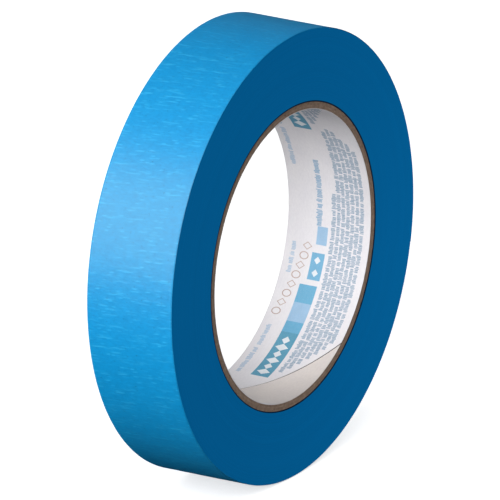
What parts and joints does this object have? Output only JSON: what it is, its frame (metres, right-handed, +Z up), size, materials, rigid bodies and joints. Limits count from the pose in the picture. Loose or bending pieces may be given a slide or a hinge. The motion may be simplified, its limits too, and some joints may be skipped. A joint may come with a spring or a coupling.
{
  "type": "masking tape roll",
  "caption": "Roll of blue crepe-paper masking tape on a spiral-wound paperboard core, standing on its rim, with a tape end that peels off.",
  "frame": {"origin": "centre of the core's bore, midway between the roll's two flat sides", "axes": "+Y along the roll's axis, +Z up with the roll standing on its rim, +X towards the side where the tape's end lies"},
  "size_m": [0.1184, 0.025, 0.1183],
  "materials": {
    "liner_paper": "smooth printed paper",
    "kraft_board": "matt layered board",
    "tape_edges": "matt slit edges of many turns",
    "crepe_tape": "satin creped paper"
  },
  "bodies": {
    "roll": {"core_liner": "liner_paper", "core_ply_1": "kraft_board", "core_ply_2": "kraft_board", "core_ply_3": "kraft_board", "core_ply_4": "kraft_board", "wound_tape": "tape_edges", "outer_wrap": "crepe_tape"},
    "tape_stretch_1_body": {"tape_stretch_1": "crepe_tape"},
    "tape_stretch_2_body": {"tape_stretch_2": "crepe_tape"},
    "tape_stretch_3_body": {"tape_stretch_3": "crepe_tape"},
    "tape_stretch_4_body": {"tape_stretch_4": "crepe_tape"},
    "tape_stretch_5_body": {"tape_stretch_5": "crepe_tape"},
    "tape_end_body": {"tape_end": "crepe_tape"}
  },
  "joints": [
    {"name": "peel_root", "type": "hinge", "parent": "roll", "child": "tape_stretch_1_body", "pos_m": [0.02963, 0, 0.05126], "axis": [0, -1, 0], "range_deg": [0, 75]},
    {"name": "peel_2", "type": "hinge", "parent": "tape_stretch_1_body", "child": "tape_stretch_2_body", "pos_m": [0.03964, 0, 0.04399], "axis": [0, -1, 0], "range_deg": [0, 24]},
    {"name": "peel_3", "type": "hinge", "parent": "tape_stretch_2_body", "child": "tape_stretch_3_body", "pos_m": [0.04792, 0, 0.03479], "axis": [0, -1, 0], "range_deg": [0, 24]},
    {"name": "peel_4", "type": "hinge", "parent": "tape_stretch_3_body", "child": "tape_stretch_4_body", "pos_m": [0.05411, 0, 0.02407], "axis": [0, -1, 0], "range_deg": [0, 24]},
    {"name": "peel_5", "type": "hinge", "parent": "tape_stretch_4_body", "child": "tape_stretch_5_body", "pos_m": [0.05794, 0, 0.0123], "axis": [0, -1, 0], "range_deg": [0, 24]},
    {"name": "peel_tab", "type": "hinge", "parent": "tape_stretch_5_body", "child": "tape_end_body", "pos_m": [0.05923, 0, -0.00001], "axis": [0, -1, 0], "range_deg": [0, 60]}
  ]
}
